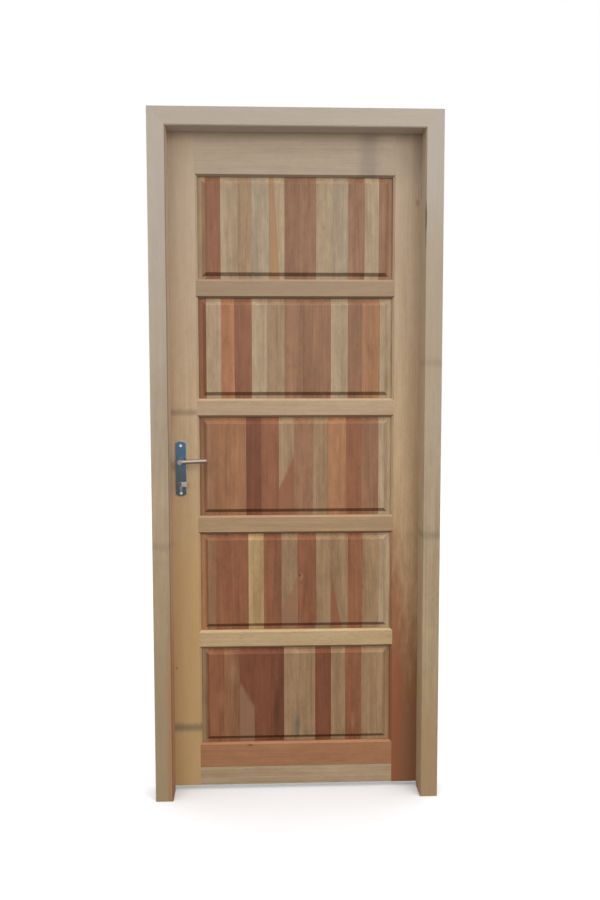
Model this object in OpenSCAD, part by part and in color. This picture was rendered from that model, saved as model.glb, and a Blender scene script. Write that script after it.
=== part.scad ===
// Panelled timber front door in its rebated frame, with hinges and a mortise lock.
// X runs to the right, Y runs back through the door, Z runs up.
// The origin lies on the floor, at mid width, in the plane of the leaf's front face.

/* [Leaf] */
// Width of the door leaf
leaf_w = 810; // [700:1:1000]
// Height of the door leaf
leaf_h = 2095; // [1900:1:2300]
// Thickness of the door leaf
leaf_t = 35; // [34:0.5:45]
// Face width of each stile
stile_w = 92; // [88:1:120]
// Face height of the top rail
top_rail_h = 136; // [90:1:200]
// Face height of each cross rail
cross_rail_h = 46; // [36:1:90]
// Face height of the upper board of the bottom rail
bottom_upper_h = 75; // [50:1:120]
// Face height of the lower board of the bottom rail
bottom_lower_h = 60; // [45:1:120]

/* [Joinery] */
// Width and depth of the chamfer that runs round each panel opening
sticking = 6.5; // [3:0.5:8]
// Width of the groove that takes the panels
groove_w = 10; // [8:0.5:12]
// Depth of that groove
groove_d = 12; // [8:0.5:14]
// Reach of the tenons into the stiles
tenon_l = 45; // [30:1:60]
// Distance that a tenon stays back from the rail's outer edge
tenon_shoulder = 20; // [10:1:30]
// Clearance of a tenon in its mortise, on each side
tenon_fit = 0.1; // [0.05:0.05:0.3]
// Clearance of a panel tongue in its groove, on each side
panel_slip = 0.1; // [0.05:0.05:0.4]
// Room for a panel to swell at the bottom of each groove
panel_room = 2; // [1:0.5:4]

/* [Panels] */
// Depth of the raised field below the face of the leaf
field_drop = 3.5; // [3:0.5:9]
// Width of the bevel round the raised field
bevel_w = 11; // [4:0.5:14]
// Flat margin between stile and bevel
margin_side = 13; // [6:0.5:30]
// Flat margin between rail and bevel
margin_end = 10; // [6:0.5:30]
// Width of one stave
stave_w = 50.3; // [30:0.1:70]

/* [Frame] */
// Face width of the jambs and the head
frame_face = 55; // [45:1:80]
// Depth of the frame from front to back
frame_depth = 115; // [90:1:160]
// Width of the rebate that the leaf closes into
rebate_w = 13; // [9:0.5:18]
// Chamfer on the front inner arris
frame_arris = 3; // [1:0.5:6]
// Gap between leaf and rebate at the sides and the top
leaf_gap = 3; // [2:0.5:5]
// Gap between leaf and stop
stop_gap = 1; // [0.5:0.5:3]
// Height of the leaf above the feet of the jambs
floor_gap = 15; // [5:1:30]
// Radius of the dowels in the corner mitres
dowel_r = 5; // [3:0.5:6]
// Length of the corner dowels
dowel_l = 56; // [30:1:60]

/* [Hinges] */
// Height of one hinge
hinge_h = 100; // [75:1:130]
// Middle of the lowest hinge above the foot of the leaf
hinge_low = 220; // [150:1:320]
// Middle of the highest hinge below the top of the leaf
hinge_top = 180; // [150:1:320]
// Width of a hinge plate in the wood
hinge_plate_w = 28; // [22:0.5:30]
// Thickness of a hinge plate
hinge_plate_t = 2.5; // [1.5:0.1:3]
// Outer radius of the knuckles
knuckle_r = 6; // [5:0.25:7]
// Radius of the hinge pin
pin_r = 3; // [2:0.25:3.5]
// Distance of the pin axis behind the back of the leaf
pin_back = 6.5; // [6.5:0.25:9]
// Running clearance of the pin in its knuckles
pin_fit = 0.05; // [0.02:0.01:0.1]
// Gap between neighbouring knuckles
knuckle_gap = 0.3; // [0.2:0.1:0.6]

/* [Screws] */
// Radius of a wood screw's shank
screw_r = 2; // [1.5:0.1:2.2]
// Radius of a wood screw's countersunk head
screw_head_r = 4; // [3.5:0.1:4.2]
// Height of the countersunk head
screw_head_h = 2.2; // [1.5:0.1:2.4]
// Length of the long wood screws
screw_l = 25; // [18:1:30]
// Length of the short wood screws that hold the lock plates
plate_screw_l = 12; // [9:0.5:12]
// Clearance of a screw in its hole
screw_fit = 0.05; // [0.02:0.01:0.1]

/* [Lock plates and levers] */
// Width of a lock plate
plate_w = 34; // [30:0.5:44]
// Height of a lock plate
plate_h = 176; // [170:1:220]
// Thickness of a lock plate
plate_t = 4; // [3:0.5:6]
// Radius of the arched ends of the lock plates
plate_arch = 26; // [24:0.5:40]
// Height of the bevelled edge of a lock plate
plate_edge = 1; // [0.5:0.25:2]
// Upper plate screw above the middle of the plate
plate_screw_up = 73; // [70:0.5:78]
// Lower plate screw below the middle of the plate
plate_screw_down = 78.5; // [78:0.5:80]
// Height of the lever axis above the foot of the leaf
lever_z = 1066; // [1000:1:1120]
// Height of the lever axis above the middle of the plate
lever_up = 24; // [18:0.5:30]
// Distance of the lever axis from the edge of the leaf
backset = 40; // [38:0.5:46]
// Radius of the lever's neck
neck_r = 8; // [7:0.25:9]
// Radius of the lever's bar
bar_r = 7.25; // [6:0.25:8]
// Chamfer at the ends of neck and bar
lever_edge = 0.75; // [0.5:0.25:1.5]
// Length of the lever from its axis
lever_l = 84; // [60:1:120]
// Distance of the lever's bar from the face of the leaf
lever_out = 45; // [35:1:60]
// Upward tilt of the lever bars at rest, in degrees
lever_lift = 2.5; // [0:0.5:4]
// Width across the flats of the spindle
spindle_w = 8; // [7:0.5:9]
// Reach of the spindle into each lever
spindle_in = 22; // [12:1:28]
// Clearance of the spindle in its sockets
spindle_fit = 0.05; // [0.02:0.01:0.1]
// Running clearance of turning lock pieces
turn_fit = 0.08; // [0.03:0.01:0.1]

/* [Mortise lock] */
// Thickness of the lock case over its cover
case_t = 15; // [14:0.5:17]
// Thickness of the case's sheet
sheet_t = 1.5; // [1:0.1:2]
// Height of the case above the lever axis
case_up = 41; // [38:0.5:46]
// Depth of the case below the lever axis
case_down = 101; // [99:0.5:110]
// Depth of the case behind the lever axis
case_back = 20; // [19:0.5:24]
// Clearance of the case in its mortise
case_fit = 0.5; // [0.3:0.1:1]
// Thickness of the forend
forend_t = 3; // [2:0.1:4]
// Width of the forend
forend_w = 22; // [20:0.5:24]
// Height of the forend
forend_h = 206; // [200:1:230]
// Middle of the forend below the lever axis
forend_down = 30; // [26:0.5:34]
// Distance of a forend screw from the forend's end
forend_screw_in = 10; // [8:0.5:14]
// Clearance of the bolts in the forend
bolt_fit = 0.3; // [0.2:0.1:0.5]
// Thickness of latch and dead bolt
bolt_t = 11; // [9:0.5:11]
// Height of the latch bolt
latch_h = 18; // [14:0.5:20]
// Middle of the latch bolt above the lever axis
latch_up = 20; // [20:0.5:22]
// Travel of the latch bolt
latch_travel = 12; // [10:0.5:12]
// Height of the dead bolt
dead_h = 20; // [16:0.5:22]
// Middle of the dead bolt below the lever axis
dead_down = 33; // [32:0.5:34]
// Travel of the dead bolt
dead_travel = 20; // [14:0.5:22]
// Radius of the follower's hub
follower_r = 9; // [8:0.25:9.5]
// Radius from the lever axis to the tip of the follower's arm
arm_r = 17.2; // [16.5:0.1:17.5]
// Width of the follower's arm
arm_w = 6; // [5:0.25:6]

/* [Cylinder] */
// Distance of the cylinder below the lever axis
cylinder_down = 72; // [72:0.5:74]
// Length of the cylinder
cylinder_l = 54; // [48:1:62]
// Radius of the round part of the cylinder
cylinder_r = 8.5; // [8:0.1:9]
// Width of the cylinder's flange
flange_w = 10; // [9:0.25:11]
// Depth of the flange below the cylinder's axis
flange_down = 24.5; // [23:0.5:25]
// Clearance of the cylinder in the lock plates and the case
cylinder_fit = 0.4; // [0.3:0.1:0.6]
// Radius of the turning plug
plug_r = 6.5; // [6:0.1:7]
// Width of the cam that drives the dead bolt
cam_w = 10; // [8:0.5:10]
// Reach of the cam from the cylinder's axis
cam_r = 15.5; // [13:0.25:15.5]
// Side clearance of the cam in the cylinder
cam_fit = 0.2; // [0.1:0.05:0.4]
// Radius of the screw that holds the cylinder
cylinder_screw_r = 2.5; // [2:0.1:2.5]
// Reach of the thumb turn from the cylinder's axis
turn_l = 20; // [16:0.5:26]
// Height of the thumb turn
turn_h = 16; // [10:0.5:18]
// Radius of the thumb turn's hub
turn_hub_r = 5; // [4:0.25:6]
// Thickness of the thumb turn
turn_t = 12; // [8:0.5:14]

/* [Strike] */
// Thickness of the strike plate
strike_t = 2; // [1.5:0.1:3]
// Width of the strike plate
strike_w = 24; // [22:0.5:26]
// Height of the strike plate
strike_h = 170; // [150:1:200]
// Middle of the strike plate below the lever axis
strike_down = 8; // [0:0.5:12]
// Room round each bolt in the strike
strike_room = 2; // [1:0.25:2.5]
// Distance of a strike screw from the strike's end
strike_screw_in = 12; // [10:0.5:16]

/* [Hidden] */
$fn = 48;

// Number of raised panels, one below the other
panels = 5;
// Overshoot of a cutter past the face that it opens
over = 1;

// Wood tones of the staves, from the palest timber to the darkest
pale = [0.73, 0.65, 0.50];
straw = [0.72, 0.60, 0.40];
grey = [0.64, 0.57, 0.48];
tan_wood = [0.66, 0.55, 0.41];
brown = [0.58, 0.44, 0.33];
rose = [0.62, 0.45, 0.35];
orange = [0.66, 0.43, 0.31];
russet = [0.56, 0.37, 0.28];
dark = [0.45, 0.28, 0.21];

// Timbers of the staves from left to right, one list for each panel from the top down
stave_woods = [
    [rose, russet, pale, grey, grey, pale, russet, russet, tan_wood, grey, russet, pale, russet],
    [russet, tan_wood, orange, russet, pale, tan_wood, brown, brown, brown, pale, brown, orange, tan_wood],
    [dark, rose, brown, rose, dark, russet, straw, tan_wood, grey, rose, russet, brown, pale],
    [russet, brown, russet, russet, straw, russet, grey, russet, tan_wood, grey, orange, pale, tan_wood],
    [grey, orange, brown, dark, russet, dark, tan_wood, tan_wood, dark, tan_wood, orange, grey, tan_wood]
];
staves = len(stave_woods[0]);

// Colours of the other pieces
frame_wood = [0.70, 0.64, 0.55];
leaf_wood = [0.69, 0.59, 0.45];
steel = [0.62, 0.66, 0.70];
zinc = [0.66, 0.67, 0.66];
brass = [0.72, 0.60, 0.36];

// Leaf outline
leaf_x = leaf_w / 2;
leaf_z0 = floor_gap;
leaf_z1 = floor_gap + leaf_h;
opening_x = leaf_x - stile_w;
inner_x = opening_x - sticking;
bottom_rail_h = bottom_upper_h + bottom_lower_h;
opening_h = (leaf_h - top_rail_h - bottom_rail_h - (panels - 1) * cross_rail_h) / panels;
opening_pitch = opening_h + cross_rail_h;
groove_y0 = (leaf_t - groove_w) / 2;
groove_y1 = groove_y0 + groove_w;
mortise_extra = over;

// Upper and lower face edges of the opening of panel i, counted from the top
function opening_top(i) = leaf_z1 - top_rail_h - (i - 1) * opening_pitch;
function opening_low(i) = opening_top(i) - opening_h;

// Frame outline
frame_front = leaf_t - frame_depth;
stop_y = -stop_gap;
rebate_x = leaf_x + leaf_gap;
clear_x = rebate_x - rebate_w;
outer_x = clear_x + frame_face;
rebate_z = leaf_z1 + leaf_gap;
soffit_z = rebate_z - rebate_w;
top_z = soffit_z + frame_face;
dowel_mid = frame_face / 2;
dowel_ys = [(frame_front * 2 + stop_y) / 3, (frame_front + stop_y * 2) / 3];

// Hinges
pin_x = leaf_x + leaf_gap / 2;
pin_y = leaf_t + pin_back;
hinge_zs = [leaf_z0 + hinge_low, leaf_z0 + (leaf_h + hinge_low - hinge_top) / 2, leaf_z1 - hinge_top];
knuckle_h = (hinge_h - 2 * knuckle_gap) / 3;
hinge_screw_zs = [-0.38 * hinge_h, -0.14 * hinge_h, 0.14 * hinge_h, 0.38 * hinge_h];
hinge_screw_ys = [leaf_t - hinge_plate_w * 0.7, leaf_t - hinge_plate_w * 0.35];

// Lock
lock_x = backset - leaf_x;
lock_y = leaf_t / 2;
lever_axis_z = leaf_z0 + lever_z;
plate_z = lever_axis_z - lever_up;
cylinder_z = lever_axis_z - cylinder_down;
forend_back = forend_t - leaf_x;
case_y0 = lock_y - case_t / 2;
case_y1 = case_y0 + case_t;
case_x1 = lock_x + case_back;
forend_z = lever_axis_z - forend_down;
latch_z = lever_axis_z + latch_up;
dead_z = lever_axis_z - dead_down;
strike_z = lever_axis_z - strike_down;
cylinder_y0 = lock_y - cylinder_l / 2;
cylinder_y1 = lock_y + cylinder_l / 2;
bridge_top = -cam_r - cam_fit;
cylinder_screw_z = cylinder_z - (flange_down - bridge_top) / 2;
// Turn of the levers that draws the latch fully in
lever_swing = 40;
bolt_y0 = lock_y - bolt_t / 2;
// Play of the follower's arm on each side of the bolts' thickness
arm_side = 2;
arm_t = bolt_t - 2 * arm_side;
// Gap between the follower's arm and the lug of the latch
arm_gap = 0.6;
lug_x = lock_x - arm_r * sin(lever_swing / 2) + arm_w / 2 + arm_gap;
lug_w = 5;
tail_t = 4;
// Room between the follower's arm and the latch's tail
tail_room = 1.5;
tail_z0 = lever_axis_z + arm_r + arm_w / 2 + tail_room;
// Foot of the lug, level with the tip of the arm at rest
lug_z0 = lever_axis_z + arm_r * cos(lever_swing / 2);
// Flat at the tip of the latch
latch_nose = 2;
tail_h = 5;
latch_back = 12;
latch_tip_x = -leaf_x - latch_travel;
dead_back = 50;
dead_tail_h = 9;

// Shared shapes

// Half of the chamfered edge that leaf pieces carry along a panel opening
module sticking_section() {
    polygon([[0, 0], [leaf_t, 0], [leaf_t - sticking, sticking], [sticking, sticking]]);
}

// Section of a stile or rail: thickness along the first axis, face width along the second
module leaf_section(v0, v1, low, high) {
    difference() {
        union() {
            translate([0, v0]) square([leaf_t, v1 - v0]);
            if (high) translate([0, v1]) sticking_section();
            if (low) translate([0, v0]) mirror([0, 1]) sticking_section();
        }
        if (high) translate([groove_y0, v1 + sticking - groove_d]) square([groove_w, groove_d + over]);
        if (low) translate([groove_y0, v0 - sticking - over]) square([groove_w, groove_d + over]);
    }
}

// Stile on the right-hand side, over the whole height of the leaf
module stile_blank() {
    translate([leaf_x, 0, leaf_z0]) rotate([0, 0, 90]) linear_extrude(leaf_h)
        leaf_section(0, stile_w, false, true);
}

// The stile's outline without its groove, which a rail's end is coped over
module cope_cutter() {
    translate([leaf_x, 0, leaf_z0 - over]) rotate([0, 0, 90]) linear_extrude(leaf_h + 2 * over)
        union() {
            square([leaf_t, stile_w]);
            translate([0, stile_w]) sticking_section();
        }
}

// Tenon at the right-hand end of a rail; fit widens it for the mortise
module tenon(z0, z1, fit = 0, extra = 0) {
    translate([inner_x - fit, groove_y0 - fit, z0 - fit])
        cube([tenon_l + fit + extra, groove_w + 2 * fit, z1 - z0 + 2 * fit]);
}

// Short stub of a rail that fills the stile's groove beyond the tenon
module haunch(z0, z1) {
    translate([inner_x, groove_y0, z0]) cube([groove_d, groove_w, z1 - z0]);
}

// Rail between the stiles, with its face edges at z0 and z1
module rail_blank(z0, z1, low, high) {
    difference() {
        translate([-opening_x, 0, 0]) rotate([90, 0, 90]) linear_extrude(2 * opening_x)
            leaf_section(z0, z1, low, high);
        for (side = [0, 1]) mirror([side, 0, 0]) cope_cutter();
    }
}

// Both ends of a rail at once
module at_both_ends() {
    for (side = [0, 1]) mirror([side, 0, 0]) children();
}

// Lower and upper edge of each rail's tenon, from the top rail down
function tenon_low(z0, moulded) = z0 + (moulded ? groove_d - sticking : tenon_shoulder / 2);
function tenon_high(z1, moulded) = z1 - (moulded ? groove_d - sticking : tenon_shoulder);
top_tenon = [tenon_low(opening_top(1), true), tenon_high(leaf_z1, false)];
upper_board_tenon = [tenon_low(leaf_z0 + bottom_lower_h, false), tenon_high(opening_low(panels), true)];
lower_board_tenon = [leaf_z0 + tenon_shoulder, leaf_z0 + bottom_lower_h - tenon_shoulder / 2];
function cross_tenon(i) = [tenon_low(opening_top(i + 1), true), tenon_high(opening_low(i), true)];
tenons = concat([top_tenon], [for (i = [1:panels - 1]) cross_tenon(i)], [upper_board_tenon, lower_board_tenon]);

// All mortises of the right-hand stile
module mortises() {
    for (t = tenons) tenon(t[0], t[1], tenon_fit, mortise_extra);
}

// Countersunk wood screw, its head flat at the origin and its point down; fit widens it for the hole
module wood_screw(l, fit = 0) {
    translate([0, 0, -screw_head_h]) cylinder(h = screw_head_h, r1 = screw_r + fit, r2 = screw_head_r + fit);
    translate([0, 0, screw_r - l]) cylinder(h = l - screw_r - screw_head_h, r = screw_r + fit);
    translate([0, 0, -l - fit]) cylinder(h = screw_r + fit, r1 = screw_r / 10, r2 = screw_r + fit);
}

// Places of the hinge screws along one plate
module at_hinge_screws(z) {
    for (k = [0:3]) translate([0, hinge_screw_ys[k % 2], z + hinge_screw_zs[k]]) children();
}

// Screws that go into the jamb, and those that go into the hinge stile
module frame_hinge_screw(fit = 0) {
    translate([rebate_x, 0, 0]) rotate([0, -90, 0]) wood_screw(screw_l, fit);
}
module door_hinge_screw(fit = 0) {
    translate([leaf_x, 0, 0]) rotate([0, 90, 0]) wood_screw(screw_l, fit);
}

// Section of the jambs and the head: distance from the outer face, then depth
module frame_section() {
    polygon([
        [0, frame_front], [frame_face - frame_arris, frame_front], [frame_face, frame_front + frame_arris],
        [frame_face, stop_y], [frame_face - rebate_w, stop_y], [frame_face - rebate_w, leaf_t], [0, leaf_t]
    ]);
}

// Outline of the right-hand jamb and of the head in elevation, meeting in 45 degree mitres
module jamb_outline() {
    polygon([[clear_x, 0], [outer_x, 0], [outer_x, top_z], [clear_x, soffit_z]]);
}
module head_outline() {
    polygon([[-outer_x, top_z], [outer_x, top_z], [clear_x, soffit_z], [-clear_x, soffit_z]]);
}

// Solid over an elevation outline, through the depth of the frame
module through_frame() {
    translate([0, leaf_t + over, 0]) rotate([90, 0, 0]) linear_extrude(frame_depth + 2 * over) children();
}

// Right-hand jamb before it is recessed
module jamb_blank() {
    intersection() {
        translate([outer_x, 0, 0]) mirror([1, 0, 0]) linear_extrude(top_z) frame_section();
        through_frame() jamb_outline();
    }
}

// Dowels across the mitre at the upper right corner
module mitre_dowels(fit = 0) {
    for (y = dowel_ys)
        translate([outer_x - dowel_mid, y, top_z - dowel_mid]) rotate([0, 45, 0])
            rotate([0, -90, 0]) cylinder(h = dowel_l + 2 * fit, r = dowel_r + fit, center = true);
}

// Rectangle with rounded corners, centred
module round_rect(w, h, r) {
    square([w - 2 * r, h], center = true);
    square([w, h - 2 * r], center = true);
    for (x = [r - w / 2, w / 2 - r], z = [r - h / 2, h / 2 - r]) translate([x, z]) circle(r);
}

// Outline of the profile cylinder, its axis at the origin
module cylinder_outline(fit = 0) {
    circle(cylinder_r + fit);
    translate([-flange_w / 2 - fit, flange_w / 2 - flange_down])
        square([flange_w + 2 * fit, flange_down - flange_w / 2]);
    translate([0, flange_w / 2 - flange_down]) circle(flange_w / 2 + fit);
}

// Solid along Y from y0 to y1 over a section drawn in X and Z
module along_y(y0, y1) {
    translate([0, y1, 0]) rotate([90, 0, 0]) linear_extrude(y1 - y0) children();
}

// Places its children on the lever axis or on the cylinder's axis
module at_lever_axis() {
    translate([lock_x, 0, lever_axis_z]) children();
}
module at_cylinder() {
    translate([lock_x, 0, cylinder_z]) children();
}

// Turns a piece of the front of the leaf round to its back
module to_rear() {
    translate([0, leaf_t, 0]) mirror([0, 1, 0]) children();
}

// Block centred on height z, in the middle of the leaf's thickness
module lock_block(x0, x1, t, z, h) {
    translate([x0, lock_y - t / 2, z - h / 2]) cube([x1 - x0, t, h]);
}

// Frame

module strike_screw(fit = 0) {
    for (z = [strike_screw_in - strike_h / 2, strike_h / 2 - strike_screw_in])
        translate([-rebate_x, lock_y, strike_z + z]) rotate([0, 90, 0]) wood_screw(screw_l, fit);
}

// Pockets for the latch and the dead bolt, depth measured from the rebate
module bolt_pockets(depth_latch, depth_dead) {
    lock_block(-rebate_x - depth_latch, -rebate_x + over, bolt_t + 2 * strike_room, latch_z,
        latch_h + 2 * strike_room);
    lock_block(-rebate_x - depth_dead, -rebate_x + over, bolt_t + 2 * strike_room, dead_z,
        dead_h + 2 * strike_room);
}

module left_jamb() {
    color(frame_wood) difference() {
        mirror([1, 0, 0]) jamb_blank();
        mirror([1, 0, 0]) mitre_dowels(screw_fit);
        lock_block(-rebate_x - strike_t, -rebate_x + over, strike_w, strike_z, strike_h);
        bolt_pockets(latch_travel + strike_room, dead_travel + strike_room);
        strike_screw(screw_fit);
    }
}

module right_jamb() {
    color(frame_wood) difference() {
        jamb_blank();
        mitre_dowels(screw_fit);
        for (z = hinge_zs) {
            translate([rebate_x - over, leaf_t - hinge_plate_w, z - hinge_h / 2])
                cube([hinge_plate_t + over, hinge_plate_w + over, hinge_h]);
            at_hinge_screws(z) frame_hinge_screw(screw_fit);
        }
    }
}

module frame_head() {
    color(frame_wood) difference() {
        intersection() {
            translate([0, 0, top_z]) rotate([0, 90, 0]) linear_extrude(2 * outer_x, center = true)
                frame_section();
            through_frame() head_outline();
        }
        at_both_ends() mitre_dowels(screw_fit);
    }
}

module corner_dowels() {
    color(tan_wood) at_both_ends() mitre_dowels();
}

module strike_plate() {
    color(zinc) difference() {
        lock_block(-rebate_x - strike_t, -rebate_x, strike_w, strike_z, strike_h);
        bolt_pockets(strike_t + over, strike_t + over);
        strike_screw(screw_fit);
    }
}

module strike_screws() {
    color(zinc) strike_screw();
}

// Hinges

// One knuckle round the pin axis, tied to the plate whose faces lie at x0 and x1
module knuckle(x0, x1, z0) {
    difference() {
        union() {
            translate([pin_x, pin_y, z0]) cylinder(h = knuckle_h, r = knuckle_r);
            translate([x0, leaf_t - over, z0]) cube([x1 - x0, pin_back + over, knuckle_h]);
        }
        translate([pin_x, pin_y, z0 - over]) cylinder(h = knuckle_h + 2 * over, r = pin_r + pin_fit);
    }
}

// Plate let into the wood between x0 and x1
module hinge_plate(x0, x1, z) {
    translate([x0, leaf_t - hinge_plate_w, z - hinge_h / 2]) cube([x1 - x0, hinge_plate_w, hinge_h]);
}

module hinge_frame_leaf(z) {
    color(zinc) difference() {
        union() {
            hinge_plate(rebate_x, rebate_x + hinge_plate_t, z);
            for (k = [0, 2])
                knuckle(rebate_x, rebate_x + hinge_plate_t, z - hinge_h / 2 + k * (knuckle_h + knuckle_gap));
        }
        at_hinge_screws(z) frame_hinge_screw(screw_fit);
    }
}

module hinge_door_leaf(z) {
    color(zinc) difference() {
        union() {
            hinge_plate(leaf_x - hinge_plate_t, leaf_x, z);
            knuckle(leaf_x - hinge_plate_t, leaf_x, z - knuckle_h / 2);
        }
        at_hinge_screws(z) door_hinge_screw(screw_fit);
    }
}

// Pin with a domed cap on each end
module hinge_pin(z) {
    color(zinc) translate([pin_x, pin_y, z]) {
        cylinder(h = hinge_h, r = pin_r, center = true);
        for (side = [0, 1]) mirror([0, 0, side]) translate([0, 0, hinge_h / 2])
            rotate_extrude() intersection() {
                translate([0, -knuckle_r / 2]) circle(knuckle_r);
                square([knuckle_r, knuckle_r]);
            }
    }
}

module hinge_frame_screws() {
    color(zinc) for (z = hinge_zs) at_hinge_screws(z) frame_hinge_screw();
}

module hinge_door_screws() {
    color(zinc) for (z = hinge_zs) at_hinge_screws(z) door_hinge_screw();
}

// Leaf

// Mortise for the lock, with its bores for spindle and cylinder
module lock_mortise() {
    lock_block(-leaf_x - over, forend_back, forend_w, forend_z, forend_h);
    translate([forend_back - over, case_y0 - case_fit, lever_axis_z - case_down - case_fit])
        cube([case_x1 + case_fit - forend_back + over, case_t + 2 * case_fit,
            case_down + case_up + 2 * case_fit]);
    at_lever_axis() along_y(-over, leaf_t + over) circle(follower_r + case_fit);
    at_cylinder() along_y(-over, leaf_t + over) cylinder_outline(cylinder_fit);
    forend_screw(screw_fit);
}

// Short screws through one lock plate, seen from the front of the leaf
module plate_screw(fit = 0) {
    for (z = [-plate_screw_down, plate_screw_up])
        translate([lock_x, -plate_t, plate_z + z]) rotate([90, 0, 0]) wood_screw(plate_screw_l, fit);
}

module lock_stile() {
    color(leaf_wood) difference() {
        mirror([1, 0, 0]) stile_blank();
        mirror([1, 0, 0]) mortises();
        lock_mortise();
        plate_screw(screw_fit);
        to_rear() plate_screw(screw_fit);
    }
}

module hinge_stile() {
    color(leaf_wood) difference() {
        stile_blank();
        mortises();
        for (z = hinge_zs) {
            translate([leaf_x - hinge_plate_t, leaf_t - hinge_plate_w, z - hinge_h / 2])
                cube([hinge_plate_t + over, hinge_plate_w + over, hinge_h]);
            at_hinge_screws(z) door_hinge_screw(screw_fit);
        }
    }
}

module top_rail() {
    color(leaf_wood) {
        rail_blank(opening_top(1), leaf_z1, true, false);
        at_both_ends() {
            tenon(top_tenon[0], top_tenon[1]);
            haunch(top_tenon[1], leaf_z1);
        }
    }
}

// Cross rail below panel i
module cross_rail(i) {
    color(leaf_wood) {
        rail_blank(opening_top(i + 1), opening_low(i), true, true);
        at_both_ends() tenon(cross_tenon(i)[0], cross_tenon(i)[1]);
    }
}

module bottom_rail_upper() {
    color(rose) {
        rail_blank(leaf_z0 + bottom_lower_h, leaf_z0 + bottom_rail_h, false, true);
        at_both_ends() tenon(upper_board_tenon[0], upper_board_tenon[1]);
    }
}

module bottom_rail_lower() {
    color(tan_wood) {
        rail_blank(leaf_z0, leaf_z0 + bottom_lower_h, false, false);
        at_both_ends() {
            tenon(lower_board_tenon[0], lower_board_tenon[1]);
            haunch(leaf_z0, lower_board_tenon[0]);
        }
    }
}

// Section of a raised panel from edge e0 to edge e1, its bevels starting at b0 and b1
module raised_section(e0, e1, b0, b1) {
    tongue0 = groove_y0 + panel_slip;
    tongue1 = groove_y1 - panel_slip;
    field0 = field_drop;
    field1 = leaf_t - field_drop;
    polygon([
        [e0, tongue0], [b0, tongue0], [b0 + bevel_w, field0], [b1 - bevel_w, field0], [b1, tongue0], [e1, tongue0],
        [e1, tongue1], [b1, tongue1], [b1 - bevel_w, field1], [b0 + bevel_w, field1], [b0, tongue1], [e0, tongue1]
    ]);
}

// Panel i, glued up from upright staves; the outermost ones are trimmed to the panel's width
module panel(i) {
    edge_x = inner_x + groove_d - panel_room;
    bevel_x = inner_x - margin_side;
    low = opening_low(i) + sticking;
    high = opening_top(i) - sticking;
    foot = low - groove_d;
    head = high + groove_d - 2 * panel_room;
    last = staves - 1;
    for (k = [0:last]) color(stave_woods[i - 1][k]) intersection() {
        translate([0, 0, foot]) linear_extrude(head - foot) intersection() {
            raised_section(-edge_x, edge_x, -bevel_x, bevel_x);
            x0 = k == 0 ? -edge_x : edge_x - (staves - k) * stave_w;
            x1 = k == last ? edge_x : edge_x - (last - k) * stave_w;
            translate([x0, 0]) square([x1 - x0, leaf_t]);
        }
        rotate([0, -90, 0]) linear_extrude(leaf_w, center = true)
            raised_section(foot, head, low + margin_end, high - margin_end);
    }
}

// Lock

// Screws at the ends of the forend
module forend_screw(fit = 0) {
    for (z = [forend_screw_in - forend_h / 2, forend_h / 2 - forend_screw_in])
        translate([-leaf_x, lock_y, forend_z + z]) rotate([0, -90, 0]) wood_screw(screw_l, fit);
}

// Holes for follower and cylinder through the sides of the case
module case_holes() {
    at_lever_axis() along_y(case_y0 - over, case_y1 + over) circle(follower_r + turn_fit);
    at_cylinder() along_y(case_y0 - over, case_y1 + over) cylinder_outline(cylinder_fit);
}

module lock_case() {
    case_h = case_down + case_up;
    case_l = case_x1 - forend_back;
    color(zinc) difference() {
        translate([forend_back, case_y0 + sheet_t, lever_axis_z - case_down])
            cube([case_l, case_t - sheet_t, case_h]);
        translate([forend_back - over, case_y0, lever_axis_z - case_down + sheet_t])
            cube([case_l + over - sheet_t, case_t - sheet_t, case_h - 2 * sheet_t]);
        case_holes();
    }
}

module lock_cover() {
    color(zinc) difference() {
        translate([forend_back, case_y0, lever_axis_z - case_down])
            cube([case_x1 - forend_back, sheet_t, case_down + case_up]);
        case_holes();
    }
}

module cylinder_screw_shape(fit = 0) {
    translate([-leaf_x, lock_y, cylinder_screw_z]) rotate([0, 90, 0]) {
        cylinder(h = backset, r = cylinder_screw_r + fit);
        cylinder(h = cylinder_screw_r, r1 = 2 * cylinder_screw_r + fit, r2 = cylinder_screw_r + fit);
    }
}

module forend() {
    color(zinc) difference() {
        lock_block(-leaf_x, forend_back, forend_w, forend_z, forend_h);
        lock_block(-leaf_x - over, forend_back + over, bolt_t + 2 * bolt_fit, latch_z, latch_h + 2 * bolt_fit);
        lock_block(-leaf_x - over, forend_back + over, bolt_t + 2 * bolt_fit, dead_z, dead_h + 2 * bolt_fit);
        cylinder_screw_shape(screw_fit);
        forend_screw(screw_fit);
    }
}

module forend_screws() {
    color(zinc) forend_screw();
}

module cylinder_screw() {
    color(zinc) cylinder_screw_shape();
}

// Plate with arched ends and a chamfer all round its front
module plate_blank() {
    half = plate_w / 2;
    straight = plate_h / 2 - plate_arch;
    intersection() {
        linear_extrude(plate_h, center = true) polygon([
            [-half, 0], [half, 0], [half, plate_edge - plate_t], [half - plate_edge, -plate_t],
            [plate_edge - half, -plate_t], [-half, plate_edge - plate_t]
        ]);
        union() {
            translate([-half, -plate_t, -straight]) cube([plate_w, plate_t, 2 * straight]);
            for (z = [-straight, straight]) translate([0, 0, z]) rotate([90, 0, 0]) {
                cylinder(h = plate_t - plate_edge, r = plate_arch);
                translate([0, 0, plate_t - plate_edge])
                    cylinder(h = plate_edge, r1 = plate_arch, r2 = plate_arch - plate_edge);
            }
        }
    }
}

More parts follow.
